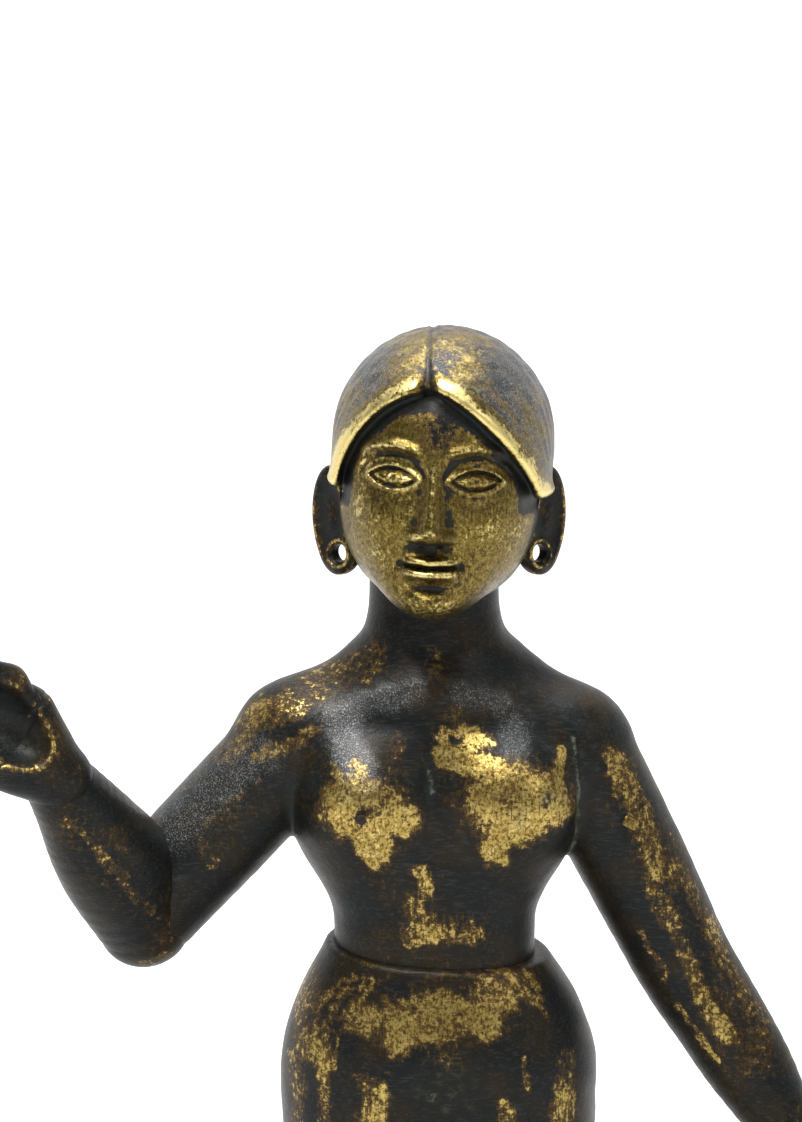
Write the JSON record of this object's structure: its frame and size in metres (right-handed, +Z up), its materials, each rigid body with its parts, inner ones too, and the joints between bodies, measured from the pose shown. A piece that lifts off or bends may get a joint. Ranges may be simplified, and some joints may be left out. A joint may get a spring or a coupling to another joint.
{
  "type": "standing brass figure on a lotus pedestal",
  "caption": "Standing brass figure with a raised right hand and a lowered left hand, assembled from hollow castings on a round lotus pedestal that it lifts out of.",
  "frame": {"origin": "centre of the pedestal's flat underside", "axes": "+Z up, the figure faces -Y, its own left hand is on +X"},
  "size_m": [0.1879, 0.096, 0.3431],
  "materials": {
    "patinated_brass": "cast brass with a dark olive-brown patina, worn bright on the raised forms",
    "pedestal_brass": "turned and chased brass with a dark patina, worn on the rims",
    "brass_pin": "filed brass rod, tarnished where it shows",
    "repair_brass": "small let-in patch of brighter brass",
    "iron_pin": "rust-dark iron wire",
    "clay_core": "baked clay and sand, left in the castings"
  },
  "bodies": {
    "pedestal": {"plinth": "pedestal_brass", "lotus_seat": "pedestal_brass", "pedestal_rivets": "brass_pin"},
    "figure": {"head": "patinated_brass", "right_ear": "patinated_brass", "left_ear": "patinated_brass", "hair_bun": "patinated_brass", "torso": "patinated_brass", "right_upper_arm": "patinated_brass", "right_forearm": "patinated_brass", "right_hand": "patinated_brass", "left_arm": "patinated_brass", "left_hand": "patinated_brass", "lower_body": "patinated_brass", "right_foot": "patinated_brass", "left_foot": "patinated_brass", "head_core": "clay_core", "torso_core": "clay_core", "lower_body_core": "clay_core", "core_pins": "iron_pin", "neck_rivet": "brass_pin", "waist_rivets": "brass_pin", "ankle_pins": "brass_pin", "right_shoulder_dowel": "brass_pin", "left_shoulder_dowel": "brass_pin", "elbow_dowel": "brass_pin", "right_wrist_dowel": "brass_pin", "left_wrist_dowel": "brass_pin", "bun_dowel": "brass_pin", "repair_patch": "repair_brass"}
  },
  "joints": [
    {"name": "figure_lift", "type": "slide", "parent": "pedestal", "child": "figure", "axis": [0, 0, 1], "range_m": [0, 0.03]}
  ]
}
